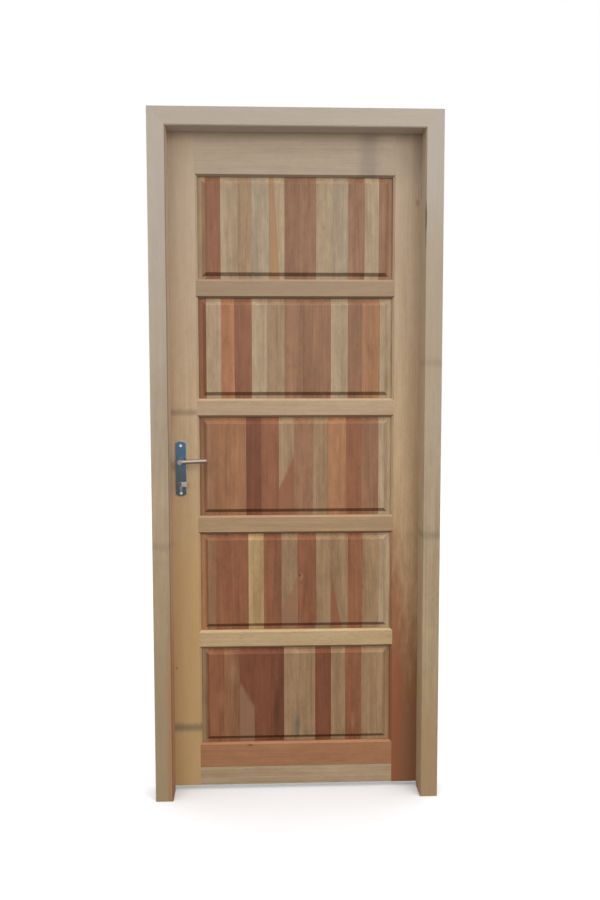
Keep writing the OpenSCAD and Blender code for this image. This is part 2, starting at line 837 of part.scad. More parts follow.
// Front lock plate with its lever hole and its cylinder cut-out
module lock_plate() {
    difference() {
        translate([lock_x, 0, plate_z]) plate_blank();
        at_lever_axis() along_y(-plate_t - over, over) circle(neck_r + turn_fit);
        at_cylinder() along_y(-plate_t - over, over) cylinder_outline(cylinder_fit);
        plate_screw(screw_fit);
    }
}

module front_plate() {
    color(steel) lock_plate();
}

module rear_plate() {
    color(steel) to_rear() lock_plate();
}

module front_plate_screws() {
    color(steel) plate_screw();
}

module rear_plate_screws() {
    color(steel) to_rear() plate_screw();
}

module cylinder_housing() {
    color(brass) at_cylinder() difference() {
        along_y(cylinder_y0, cylinder_y1) cylinder_outline();
        along_y(cylinder_y0 - over, cylinder_y1 + over) circle(plug_r + turn_fit);
        translate([-cylinder_r - over, lock_y - cam_w / 2 - cam_fit, bridge_top])
            cube([2 * (cylinder_r + over), cam_w + 2 * cam_fit, cylinder_r - bridge_top + over]);
        translate([-lock_x, 0, -cylinder_z]) cylinder_screw_shape(screw_fit);
    }
}

// Levers

// Round rod along the third axis with a chamfer at its far end
module chamfered_rod(l, r) {
    cylinder(h = l - lever_edge, r = r);
    translate([0, 0, l - lever_edge]) cylinder(h = lever_edge, r1 = r, r2 = r - lever_edge);
}

// Lever of the front: neck through the plate with a flat nose, and a straight bar let into its side
module lever() {
    neck_back = case_y0 - spindle_fit;
    at_lever_axis() difference() {
        rotate([0, -lever_lift, 0]) {
            rotate([90, 0, 0]) chamfered_rod(lever_out + bar_r + lever_edge, neck_r);
            translate([0, -lever_out, 0]) rotate([0, 90, 0]) chamfered_rod(lever_l, bar_r);
        }
        along_y(-spindle_in - spindle_fit, neck_back)
            square(spindle_w + 2 * spindle_fit, center = true);
    }
}

module front_lever() {
    color(steel) lever();
}

module rear_lever() {
    color(steel) to_rear() lever();
}

module spindle() {
    color(zinc) at_lever_axis() along_y(-spindle_in, leaf_t + spindle_in) square(spindle_w, center = true);
}

// Hub in the lock with the arm that draws the latch
module follower() {
    color(brass) at_lever_axis() difference() {
        union() {
            along_y(case_y0, case_y1) circle(follower_r);
            along_y(lock_y - arm_t / 2, lock_y + arm_t / 2) rotate(lever_swing / 2) {
                translate([-arm_w / 2, 0]) square([arm_w, arm_r]);
                translate([0, arm_r]) circle(arm_w / 2);
            }
        }
        along_y(case_y0 - over, case_y1 + over) square(spindle_w + 2 * spindle_fit, center = true);
    }
}

// Latch with a slanted head, a tail over the follower's arm and the lug that the arm pushes
module latch_bolt() {
    head_back = forend_back + latch_back;
    color(brass) {
        translate([0, 0, latch_z - latch_h / 2]) linear_extrude(latch_h) polygon([
            [head_back, bolt_y0], [head_back, bolt_y0 + bolt_t], [latch_tip_x, bolt_y0 + bolt_t],
            [latch_tip_x, bolt_y0 + bolt_t - latch_nose], [strike_t - leaf_x - leaf_gap, bolt_y0]
        ]);
        translate([head_back - over, lock_y - tail_t / 2, tail_z0])
            cube([lug_x + lug_w - head_back + over, tail_t, tail_h]);
        translate([lug_x, lock_y - tail_t / 2, lug_z0]) cube([lug_w, tail_t, tail_z0 + tail_h - lug_z0]);
    }
}

// Dead bolt, drawn in at rest, with the talon that hangs over the cam
module dead_bolt() {
    color(brass) {
        lock_block(-leaf_x, dead_back - leaf_x, bolt_t, dead_z, dead_h);
        translate([lock_x - arm_w, lock_y - arm_t / 2, dead_z - dead_h / 2 - dead_tail_h])
            cube([2 * arm_w, arm_t, dead_tail_h + over]);
    }
}

// Cylinder's turning pieces

// Plug from the front end of the cylinder to the cam
module plug(y0) {
    at_cylinder() along_y(y0, lock_y - cam_w / 2) circle(plug_r);
}

module front_plug() {
    color(brass) plug(cylinder_y0 - bolt_fit);
}

// Rear plug with its keyway
module rear_plug() {
    keyway_w = 2.4;
    keyway_h = 8.6;
    color(brass) to_rear() difference() {
        plug(cylinder_y0);
        at_cylinder() translate([-keyway_w / 2, cylinder_y0 - over, -keyway_h / 2])
            cube([keyway_w, cylinder_l / 2 - cam_w, keyway_h]);
    }
}

module cam() {
    tip_w = 8;
    color(zinc) at_cylinder() along_y(lock_y - cam_w / 2, lock_y + cam_w / 2) {
        circle(cylinder_r);
        translate([-tip_w / 2, tip_w / 2 - cam_r]) square([tip_w, cam_r - tip_w / 2]);
        translate([0, tip_w / 2 - cam_r]) circle(tip_w / 2);
    }
}

// Turn knob on the front plug: a hub with a flat grip to one side
module thumb_turn() {
    turn_y = cylinder_y0 - bolt_fit;
    grip_r = 2.5;
    color(steel) at_cylinder() {
        along_y(turn_y - turn_t, turn_y) circle(turn_hub_r);
        along_y(turn_y - turn_t, turn_y - turn_t / 4) translate([turn_l / 2, 0])
            round_rect(turn_l, turn_h, grip_r);
    }
}

left_jamb();
right_jamb();
frame_head();
corner_dowels();
strike_plate();
strike_screws();
hinge_frame_leaf(hinge_zs[0]);  // lower_hinge_frame_leaf
hinge_frame_leaf(hinge_zs[1]);  // middle_hinge_frame_leaf
hinge_frame_leaf(hinge_zs[2]);  // upper_hinge_frame_leaf
hinge_pin(hinge_zs[0]);  // lower_hinge_pin
hinge_pin(hinge_zs[1]);  // middle_hinge_pin
hinge_pin(hinge_zs[2]);  // upper_hinge_pin
hinge_frame_screws();
lock_stile();
hinge_stile();
top_rail();
cross_rail(1);  // cross_rail_1
cross_rail(2);  // cross_rail_2
cross_rail(3);  // cross_rail_3
cross_rail(4);  // cross_rail_4
bottom_rail_upper();
bottom_rail_lower();
panel(1);  // panel_1
panel(2);  // panel_2
panel(3);  // panel_3
panel(4);  // panel_4
panel(5);  // panel_5
hinge_door_leaf(hinge_zs[0]);  // lower_hinge_door_leaf
hinge_door_leaf(hinge_zs[1]);  // middle_hinge_door_leaf
hinge_door_leaf(hinge_zs[2]);  // upper_hinge_door_leaf
hinge_door_screws();
lock_case();
lock_cover();
forend();
forend_screws();
front_plate();
rear_plate();
front_plate_screws();
rear_plate_screws();
cylinder_housing();
cylinder_screw();
front_lever();
rear_lever();
spindle();
follower();
latch_bolt();
dead_bolt();
thumb_turn();
front_plug();
rear_plug();
cam();
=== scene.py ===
# Panelled hardwood front door hung in its rebated frame, bare planed wood with a steel lever lock.
import math

import bpy
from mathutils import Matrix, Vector


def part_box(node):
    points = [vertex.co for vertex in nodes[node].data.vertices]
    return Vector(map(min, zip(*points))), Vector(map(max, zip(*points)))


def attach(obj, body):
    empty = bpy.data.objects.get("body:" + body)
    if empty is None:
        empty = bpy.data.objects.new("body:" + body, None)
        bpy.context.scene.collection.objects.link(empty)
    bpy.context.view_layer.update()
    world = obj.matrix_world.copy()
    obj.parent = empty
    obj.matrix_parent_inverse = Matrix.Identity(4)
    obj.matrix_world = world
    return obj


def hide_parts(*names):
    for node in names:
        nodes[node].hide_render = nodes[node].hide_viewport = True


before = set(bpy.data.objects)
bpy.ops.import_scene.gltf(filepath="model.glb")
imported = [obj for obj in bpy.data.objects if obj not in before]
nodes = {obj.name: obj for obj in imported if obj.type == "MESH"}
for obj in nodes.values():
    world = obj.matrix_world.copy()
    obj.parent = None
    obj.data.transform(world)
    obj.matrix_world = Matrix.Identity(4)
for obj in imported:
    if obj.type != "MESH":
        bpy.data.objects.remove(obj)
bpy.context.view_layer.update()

# Jambs and head. Three lengths of one rebated hardwood section, planed and left bare, mitred at the top
# corners.
# The wood is greyed and painted lighter towards the top; the stickers it was stacked on left faint grey
# bands.


def srgb(red, green, blue):
    """Linear colour of an sRGB triple from 0 to 255."""
    parts = [value / 255 for value in (red, green, blue)]
    return [p / 12.92 if p <= 0.04045 else ((p + 0.055) / 1.055) ** 2.4 for p in parts] + [1.0]


def add(tree, kind, sockets=None, **settings):
    """New node with its settings, each socket linked or given a value."""
    node = tree.nodes.new(kind)
    for name, value in settings.items():
        setattr(node, name, value)
    for name, value in (sockets or {}).items():
        if isinstance(value, bpy.types.NodeSocket):
            tree.links.new(value, node.inputs[name])
        else:
            node.inputs[name].default_value = value
    return node


def calc(tree, operation, first, second=0.0, clamp=False):
    """Output of a math node."""
    node = add(tree, "ShaderNodeMath", {0: first, 1: second}, operation=operation, use_clamp=clamp)
    return node.outputs[0]


def calc_vector(tree, operation, first, second):
    """Vector output of a vector math node."""
    return add(tree, "ShaderNodeVectorMath", {0: first, 1: second}, operation=operation).outputs[0]


def part_of(tree, vector, axis):
    """One component of a vector."""
    return add(tree, "ShaderNodeSeparateXYZ", {0: vector}).outputs[axis]


def ramp_between(tree, value, low, high):
    """0 below low, 1 above high and smooth between; falls where high is the smaller."""
    return add(tree, "ShaderNodeMapRange", {"Value": value, "From Min": low, "From Max": high},
               interpolation_type="SMOOTHSTEP").outputs["Result"]


def blend_colours(tree, share, first, second, mode="MIX"):
    """Second colour laid over the first by a share; a Mix node's colours are its sockets 6, 7 and 2."""
    mix = add(tree, "ShaderNodeMix", {0: share, 6: first, 7: second}, data_type="RGBA", blend_type=mode)
    return mix.outputs[2]


def new_group(name, inputs, outputs):
    """Shader node group with its sockets; returns the tree, its inputs and its outputs by name."""
    tree = bpy.data.node_groups.new(name, "ShaderNodeTree")
    kinds = {"v": "NodeSocketVector", "f": "NodeSocketFloat", "c": "NodeSocketColor"}
    for kind, socket in inputs:
        tree.interface.new_socket(socket, in_out="INPUT", socket_type=kinds[kind])
    for kind, socket in outputs:
        tree.interface.new_socket(socket, in_out="OUTPUT", socket_type=kinds[kind])
    return tree, tree.nodes.new("NodeGroupInput").outputs, tree.nodes.new("NodeGroupOutput").inputs


def stretched_noise(tree, place, across, along, detail=3.0, roughness=0.6):
    """Noise drawn out along the grain, which runs along the third axis."""
    spread = calc_vector(tree, "MULTIPLY", place, (across, across, along))
    return add(tree, "ShaderNodeTexNoise", {"Vector": spread, "Scale": 1.0, "Detail": detail,
                                            "Roughness": roughness}).outputs["Fac"]


def around_zero(tree, noise):
    """Noise moved so that it swings about zero."""
    return calc(tree, "SUBTRACT", noise, 0.5)


def make_grain_group():
    """Planed hardwood: growth rings, fibre streaks, mottling, broad shades and short open pores."""
    tree, given, out = new_group(
        "planed_grain",
        [("v", "Place"), ("f", "Seed"), ("c", "Light wood"), ("c", "Dark wood"), ("f", "Figure")],
        [("c", "Wood"), ("f", "Roughness"), ("f", "Height")])
    seed_steps = {"X": 0.37, "Y": 0.23, "Z": 1.71}
    shift = add(tree, "ShaderNodeCombineXYZ", {axis: calc(tree, "MULTIPLY", given["Seed"], step)
                                               for axis, step in seed_steps.items()})
    place = calc_vector(tree, "ADD", given["Place"], shift.outputs[0])
    sway = around_zero(tree, stretched_noise(tree, place, across=9.0, along=1.6, detail=1.0))
    sway_reach = {"X": 0.03, "Y": 0.02}
    bend = add(tree, "ShaderNodeCombineXYZ", {axis: calc(tree, "MULTIPLY", sway, reach)
                                              for axis, reach in sway_reach.items()})
    bent = calc_vector(tree, "ADD", place, bend.outputs[0])
    log_stretch = (1.0, 1.0, 0.03)
    log = calc_vector(tree, "MULTIPLY", bent, log_stretch)
    rings = add(tree, "ShaderNodeTexWave", {"Vector": log, "Scale": 34.0, "Distortion": 4.5, "Detail": 2.0,
                                            "Detail Scale": 1.4},
                wave_type="RINGS", rings_direction="Z", wave_profile="SAW").outputs["Fac"]
    fibres = stretched_noise(tree, bent, across=330.0, along=6.0, detail=4.0, roughness=0.65)
    streaks = stretched_noise(tree, bent, across=150.0, along=2.4, detail=2.0)
    shades = stretched_noise(tree, bent, across=24.0, along=1.6, detail=2.0)
    mottle = stretched_noise(tree, bent, across=42.0, along=13.0, detail=4.0, roughness=0.62)
    pits = stretched_noise(tree, bent, across=1300.0, along=42.0, detail=1.0)
    pores = ramp_between(tree, pits, 0.60, 0.72)
    weights = ((shades, 1.3), (mottle, 1.2), (streaks, 0.9), (fibres, 0.55), (rings, given["Figure"]))
    depth = 0.5
    for layer, weight in weights:
        depth = calc(tree, "ADD", calc(tree, "MULTIPLY", around_zero(tree, layer), weight), depth)
    depth = calc(tree, "MAXIMUM", calc(tree, "MINIMUM", depth, 1.0), 0.0)
    wood = blend_colours(tree, depth, given["Light wood"], given["Dark wood"])
    pore_share = calc(tree, "MULTIPLY", pores, 0.35)
    wood = blend_colours(tree, pore_share, wood, srgb(96, 70, 50), "MULTIPLY")
    tree.links.new(wood, out["Wood"])
    smoothest = 0.46
    tree.links.new(calc(tree, "ADD", calc(tree, "MULTIPLY", fibres, 0.25), smoothest), out["Roughness"])
    tree.links.new(calc(tree, "SUBTRACT", fibres, pores), out["Height"])
    return tree


def make_patch_group():
    """Soft-edged patch of another shade: a stain, a knot, heartwood showing through, painted light or shade.
    """
    tree, given, out = new_group(
        "wood_patch",
        [("c", "Wood"), ("v", "Place"), ("v", "Middle"), ("v", "Reach"), ("c", "Shade"), ("f", "Strength"),
         ("f", "Edge"), ("f", "Core")], [("c", "Wood")])
    off = calc_vector(tree, "SUBTRACT", given["Place"], given["Middle"])
    off = calc_vector(tree, "DIVIDE", off, given["Reach"])
    far = add(tree, "ShaderNodeVectorMath", {0: off}, operation="LENGTH").outputs["Value"]
    ragged = around_zero(tree, stretched_noise(tree, given["Place"], across=60.0, along=14.0))
    far = calc(tree, "ADD", far, calc(tree, "MULTIPLY", ragged, given["Edge"]))
    share = calc(tree, "MULTIPLY", ramp_between(tree, far, 1.0, given["Core"]), given["Strength"])
    tree.links.new(blend_colours(tree, share, given["Wood"], given["Shade"]), out["Wood"])
    return tree


def make_painted_slope_light_group():
    """Chamfers and bevels: painted shade darkens those that look down, painted light brightens those that
    look up.
    """
    tree, given, out = new_group("painted_slope_light", [("c", "Wood"), ("f", "Painted shade"), ("f", "Painted light")],
                                 [("c", "Wood")])
    lean = part_of(tree, add(tree, "ShaderNodeTexCoord").outputs["Normal"], "Z")
    slanted = ramp_between(tree, calc(tree, "ABSOLUTE", lean), 0.95, 0.85)
    # painted shade: a darker tint on slopes that look down; painted light: a lighter tint on slopes that look
    # up
    painted_shade_tint = srgb(120, 106, 92)
    painted_light_tint = (1.45, 1.4, 1.34, 1.0)
    wood = given["Wood"]
    for way, strength, tint in ((-1, "Painted shade", painted_shade_tint), (1, "Painted light", painted_light_tint)):
        facing = calc(tree, "MULTIPLY", ramp_between(tree, lean, way * 0.25, way * 0.5), slanted)
        share = calc(tree, "MULTIPLY", facing, given[strength])
        wood = blend_colours(tree, share, wood, tint, "MULTIPLY")
    tree.links.new(wood, out["Wood"])
    return tree


grain_group = make_grain_group()
patch_group = make_patch_group()
painted_slope_light_group = make_painted_slope_light_group()
BROAD = 9.0  # reach of a patch in metres, along an axis on which it has no end


def dress(material, *names):
    """Gives nodes their material."""
    for name in names:
        nodes[name].data.materials.clear()
        nodes[name].data.materials.append(material)


class Timber:
    """Material of one board; marks are laid over its grain one after another."""

    def __init__(self, name, light, dark, seed, along="Z", figure=0.25):
        self.material = bpy.data.materials.new(name)
        self.material.use_nodes = True
        self.tree = self.material.node_tree
        self.shader = self.tree.nodes["Principled BSDF"]
        self.place = add(self.tree, "ShaderNodeTexCoord").outputs["Object"]
        turn = (0.0, math.radians(90), 0.0) if along == "X" else (0.0, 0.0, 0.0)
        grained = add(self.tree, "ShaderNodeMapping", {"Vector": self.place, "Rotation": turn}).outputs[0]
        self.grain = add(self.tree, "ShaderNodeGroup", {
            "Place": grained, "Seed": seed, "Light wood": light, "Dark wood": dark, "Figure": figure,
        }, node_tree=grain_group)
        self.colour = self.grain.outputs["Wood"]

    def patch(self, middle, reach, shade, strength, edge=0.5, core=0.35):
        """Patch at a point in metres, with its reach along each axis and the share of it that is full."""
        node = add(self.tree, "ShaderNodeGroup", {
            "Wood": self.colour, "Place": self.place, "Middle": middle, "Reach": reach, "Shade": shade,
            "Strength": strength, "Edge": edge, "Core": core,
        }, node_tree=patch_group)
        self.colour = node.outputs["Wood"]

    def sticker_stain(self, level, half, strength):
        """Grey band left by a sticker in the timber stack."""
        sticker_grey = srgb(112, 98, 80)
        self.patch((0.0, 0.0, level), (BROAD, BROAD, half), sticker_grey, strength, edge=0.6, core=0.0)

    def greyed_and_lit_top(self, strength):
        """Greyer and lighter towards the top of the door: partly weathering, partly painted light from above.
        """
        weathered_and_lit = srgb(184, 174, 164)
        starts_at, full_at = 0.5, 2.2
        growth = ramp_between(self.tree, part_of(self.tree, self.place, "Z"), starts_at, full_at)
        share = calc(self.tree, "MULTIPLY", growth, strength)
        self.colour = blend_colours(self.tree, share, self.colour, weathered_and_lit)

    def paint_slope_light(self, painted_shade_share, painted_light_share):
        """Painted shade on the chamfers and bevels that look down, painted light on those that look up."""
        node = add(self.tree, "ShaderNodeGroup", {
            "Wood": self.colour, "Painted shade": painted_shade_share, "Painted light": painted_light_share}, node_tree=painted_slope_light_group)
        self.colour = node.outputs["Wood"]

    def finish(self, *names):
        """Joins the shader and dresses the nodes."""
        bump = add(self.tree, "ShaderNodeBump", {
            "Height": self.grain.outputs["Height"], "Strength": 0.25, "Distance": 0.0004})
        self.tree.links.new(bump.outputs[0], self.shader.inputs["Normal"])
        self.tree.links.new(self.colour, self.shader.inputs["Base Color"])
        self.tree.links.new(self.grain.outputs["Roughness"], self.shader.inputs["Roughness"])
        self.shader.inputs["Specular IOR Level"].default_value = 0.3
        dress(self.material, *names)


def ease_edges(names, width):
    """Takes the sharpness off the arrises, as sandpaper or tumbling does."""
    join_within = 0.00001
    sharp_from = math.radians(25)
    for name in names:
        weld = nodes[name].modifiers.new("join_faces", "WELD")
        weld.merge_threshold = join_within
        bevel = nodes[name].modifiers.new("eased_edges", "BEVEL")
        bevel.width = width
        bevel.segments = 2
        bevel.limit_method = "ANGLE"
        bevel.angle_limit = sharp_from


jamb_light = srgb(178, 156, 124)
jamb_dark = srgb(152, 129, 99)

left_wood = Timber("left_jamb_wood", jamb_light, jamb_dark, seed=1.0)
dull_foot = srgb(152, 132, 102)
left_reveal_painted_light = srgb(222, 188, 160)
heartwood_edge = srgb(190, 136, 100)
heartwood = srgb(168, 113, 77)
left_dark_arris = srgb(104, 72, 50)
left_wood.patch((-0.42, 0.0, 0.0), (BROAD, BROAD, 0.9), dull_foot, strength=0.7)
left_wood.greyed_and_lit_top(0.78)
# painted light: a lighter band on the jamb's inner face beside the leaf
left_wood.patch((-0.389, 0.0, 1.2), (0.008, BROAD, BROAD), left_reveal_painted_light, strength=0.8, edge=0.3, core=0.5)
left_wood.patch((-0.389, 0.0, 0.6), (0.010, BROAD, 0.75), heartwood_edge, strength=0.6, edge=0.8, core=0.1)
left_wood.patch((-0.392, 0.0, 0.10), (0.027, BROAD, 0.66), heartwood, strength=0.6, edge=0.7, core=0.4)
# a dark line along the arris between the face and the inner face
left_wood.patch((-0.395, -0.080, 1.0), (0.004, 0.007, BROAD), left_dark_arris, strength=0.65, edge=0.3,
                core=0.3)
left_wood.sticker_stain(0.82, half=0.02, strength=0.25)
left_wood.finish("left_jamb")

right_wood = Timber("right_jamb_wood", jamb_light, jamb_dark, seed=2.0)
warm_foot = srgb(160, 130, 94)
warm_middle = srgb(160, 138, 108)
right_reveal_painted_light = srgb(212, 188, 154)
right_dark_arris = srgb(112, 88, 64)
dark_spots = srgb(84, 66, 46)
right_wood.patch((0.42, 0.0, 0.0), (BROAD, BROAD, 0.5), warm_foot, strength=0.7)
right_wood.greyed_and_lit_top(0.78)
right_wood.patch((0.42, 0.0, 1.55), (BROAD, BROAD, 0.4), warm_middle, strength=0.4)
# painted light: a lighter band on the jamb's inner face beside the leaf
right_wood.patch((0.389, 0.0, 1.2), (0.008, BROAD, BROAD), right_reveal_painted_light, strength=0.8, edge=0.3, core=0.5)
# a dark line along the arris between the face and the inner face
right_wood.patch((0.395, -0.080, 1.0), (0.003, 0.006, BROAD), right_dark_arris, strength=0.45, edge=0.3,
                 core=0.3)
right_wood.patch((0.396, -0.078, 1.82), (0.004, 0.012, 0.10), dark_spots, strength=0.8, edge=0.9, core=0.2)
right_wood.sticker_stain(0.85, half=0.022, strength=0.4)
right_wood.sticker_stain(1.39, half=0.02, strength=0.25)
right_wood.finish("right_jamb")

head_wood = Timber("head_wood", jamb_light, jamb_dark, seed=3.0, along="X")
soffit_painted_light = srgb(222, 214, 212)
head_wood.greyed_and_lit_top(0.7)
# painted light on the underside of the head and the foot of its face
head_wood.patch((0.0, 0.0, 2.096), (BROAD, BROAD, 0.008), soffit_painted_light, strength=0.45, edge=0.3, core=0.5)
head_wood.finish("frame_head")
ease_edges(("left_jamb", "right_jamb", "frame_head"), 0.0008)

# Corner dowels. Hardwood pins, turned to a close fit in bores across the two mitres and glued there.
# They are hidden once the frame is in the wall, and their end grain is left as it was sawn.
dowel_wood = Timber("dowel_wood", srgb(186, 154, 112), srgb(158, 124, 84), seed=4.0, along="X", figure=0.3)
dowel_wood.finish("corner_dowels")

# Strike plate, hinges and the lock's case and forend. Pressed and zinc-plated mild steel, dull grey, with
# fine rolling lines in the sheet and a few darker scuffs. Screws hold them in housings cut in the wood.


def make_metal_group():
    """Plated or polished metal: drawn lines, cloudy shades and rubbed spots."""
    tree, given, out = new_group(
        "worked_metal", [("v", "Place"), ("c", "Metal"), ("f", "Smoothness"), ("f", "Wear")],
        [("c", "Metal"), ("f", "Roughness"), ("f", "Height")])
    lines = stretched_noise(tree, given["Place"], across=900.0, along=30.0, detail=2.0)
    clouds = add(tree, "ShaderNodeTexNoise", {
        "Vector": given["Place"], "Scale": 60.0, "Detail": 3.0}).outputs["Fac"]
    rubbed = calc(tree, "MULTIPLY", ramp_between(tree, clouds, 0.52, 0.68), given["Wear"])
    scuffed = srgb(96, 92, 86)
    tree.links.new(blend_colours(tree, rubbed, given["Metal"], scuffed), out["Metal"])
    roughest = 0.9
    rough = calc(tree, "ADD", calc(tree, "MULTIPLY", lines, 0.12), roughest)
    rough = calc(tree, "SUBTRACT", rough, given["Smoothness"])
    rough = calc(tree, "ADD", rough, calc(tree, "MULTIPLY", rubbed, 0.25), clamp=True)
    tree.links.new(rough, out["Roughness"])
    tree.links.new(lines, out["Height"])
    return tree


metal_group = make_metal_group()


def metal(name, colour, smoothness, wear, bump_strength=0.1, other=None, axis="Z", change=(0.0, 1.0),
          rim=None):
    """Metal material; another colour takes over along an axis, and a third on a chamfered rim."""
    material = bpy.data.materials.new(name)
    material.use_nodes = True
    tree = material.node_tree
    shader = tree.nodes["Principled BSDF"]
    place = add(tree, "ShaderNodeTexCoord").outputs["Object"]
    shaded = colour
    if other:
        along = part_of(tree, place, axis)
        shaded = blend_colours(tree, ramp_between(tree, along, *change), shaded, other)
    if rim:
        facing = part_of(tree, add(tree, "ShaderNodeTexCoord").outputs["Normal"], "Y")
        chamfered = ramp_between(tree, calc(tree, "ABSOLUTE", facing), 0.97, 0.85)
        shaded = blend_colours(tree, chamfered, shaded, rim)
    worked = add(tree, "ShaderNodeGroup", {
        "Place": place, "Metal": shaded, "Smoothness": smoothness, "Wear": wear}, node_tree=metal_group)
    bump = add(tree, "ShaderNodeBump", {
        "Height": worked.outputs["Height"], "Strength": bump_strength, "Distance": 0.0001})
    tree.links.new(bump.outputs[0], shader.inputs["Normal"])
    tree.links.new(worked.outputs["Metal"], shader.inputs["Base Color"])
    tree.links.new(worked.outputs["Roughness"], shader.inputs["Roughness"])
    shader.inputs["Metallic"].default_value = 1.0
    return material


HINGES = ("lower", "middle", "upper")
zinc = metal("zinc_plate", srgb(190, 192, 190), smoothness=0.5, wear=0.5)
hinge_names = [hinge + part for hinge in HINGES
               for part in ("_hinge_frame_leaf", "_hinge_pin", "_hinge_door_leaf")]
lock_sheet = ("strike_plate", "lock_case", "lock_cover", "forend")
lock_bar = ("cylinder_screw", "spindle", "cam")
dress(zinc, *lock_sheet, *lock_bar, *hinge_names)
ease_edges(("strike_plate", "forend", *hinge_names), 0.0003)

# Stiles. Two planed hardwood uprights of the leaf, chamfered along the panel openings, with the rails' tenons
# let into them. The lock stile is straw-coloured; the hinge stile turns to red heartwood below the middle.
stile_light = srgb(196, 166, 127)
stile_dark = srgb(176, 144, 104)

lock_wood = Timber("lock_stile_wood", stile_light, stile_dark, seed=5.0)
straw_foot = srgb(186, 150, 101)
brown_knot = srgb(92, 62, 40)
lock_wood.patch((-0.36, 0.0, 0.35), (0.3, 0.3, 0.8), straw_foot, strength=0.7)
lock_wood.greyed_and_lit_top(0.45)
lock_wood.sticker_stain(0.21, half=0.022, strength=0.7)
lock_wood.sticker_stain(1.235, half=0.016, strength=0.5)
lock_wood.patch((-0.386, 0.0, 0.408), (0.004, BROAD, 0.007), brown_knot, strength=0.8, edge=0.3, core=0.0)
lock_wood.finish("lock_stile")

hinge_wood = Timber("hinge_stile_wood", stile_light, stile_dark, seed=6.0)
brown_heart = srgb(140, 94, 63)
red_foot = srgb(128, 84, 57)
red_edge = srgb(142, 84, 52)
painted_shade_under_head = srgb(150, 138, 128)
grey_knot = srgb(118, 96, 78)
hinge_wood.patch((0.36, 0.0, 0.0), (0.6, BROAD, 1.06), brown_heart, strength=0.8, edge=0.7, core=0.2)
hinge_wood.patch((0.36, 0.0, 0.0), (0.5, BROAD, 0.60), red_foot, strength=0.75, edge=0.8)
hinge_wood.patch((0.305, 0.0, 0.35), (0.07, BROAD, 0.66), red_edge, strength=0.7, core=0.4)
hinge_wood.greyed_and_lit_top(0.4)
# painted shade: the top of the stile darker and greyer under the head
hinge_wood.patch((0.36, 0.0, 2.1), (BROAD, BROAD, 0.2), painted_shade_under_head, strength=0.25)
hinge_wood.patch((0.383, 0.0, 1.89), (0.010, BROAD, 0.018), grey_knot, strength=0.45, edge=0.6, core=0.0)
hinge_wood.finish("hinge_stile")

# Rails. Top rail and four slim cross rails of planed hardwood, coped over the stiles' chamfer and tenoned
# into them, grain lying across the door. The top rail has a grey stain near its hinge end.
rail_tones = {"top_rail": (srgb(190, 165, 132), srgb(164, 141, 112)),
              "cross_rail_1": (srgb(161, 127, 86), srgb(140, 108, 71)),
              "cross_rail_2": (srgb(188, 158, 122), srgb(166, 136, 102)),
              "cross_rail_3": (srgb(175, 144, 107), srgb(151, 122, 90)),
              "cross_rail_4": (srgb(192, 165, 126), srgb(172, 145, 106))}
grey_stain = srgb(124, 112, 106)
for seed, (rail, (light, dark)) in enumerate(rail_tones.items(), 7):
    rail_wood = Timber(rail + "_wood", light, dark, seed, along="X")
    rail_wood.greyed_and_lit_top(0.35)
    if rail == "top_rail":
        rail_wood.patch((0.23, 0.0, 2.04), (0.05, BROAD, BROAD), grey_stain, strength=0.4, edge=0.6,
                        core=0.1)
    # painted shade on the rail's chamfers that look down, painted light on those that look up
    rail_wood.paint_slope_light(painted_shade_share=0.5, painted_light_share=0.6)
    rail_wood.finish(rail)

# Bottom rail. Glued edge to edge from two hardwood boards, red heartwood above and greyed tan below, and
# tenoned into the stiles. The red board pales towards the glue line and has one small knot.
red_wood = Timber("red_board_wood", srgb(170, 121, 86), srgb(149, 101, 70), seed=12.0, along="X",
                  figure=0.2)
pale_joint = srgb(150, 116, 84)
black_knot = srgb(70, 46, 34)
red_wood.patch((0.0, 0.0, 0.075), (BROAD, BROAD, 0.014), pale_joint, strength=0.6, edge=0.8, core=0.0)
red_wood.patch((-0.15, 0.0, 0.147), (0.012, BROAD, 0.006), black_knot, strength=0.7, edge=0.4, core=0.0)
# painted light on the red board's slopes that look up
red_wood.paint_slope_light(painted_shade_share=0.0, painted_light_share=0.35)
red_wood.finish("bottom_rail_upper")
foot_wood = Timber("foot_board_wood", srgb(183, 158, 126), srgb(158, 133, 102), seed=13.0, along="X")
foot_wood.finish("bottom_rail_lower")
ease_edges(("lock_stile", "hinge_stile", "bottom_rail_upper", "bottom_rail_lower", *rail_tones), 0.0006)

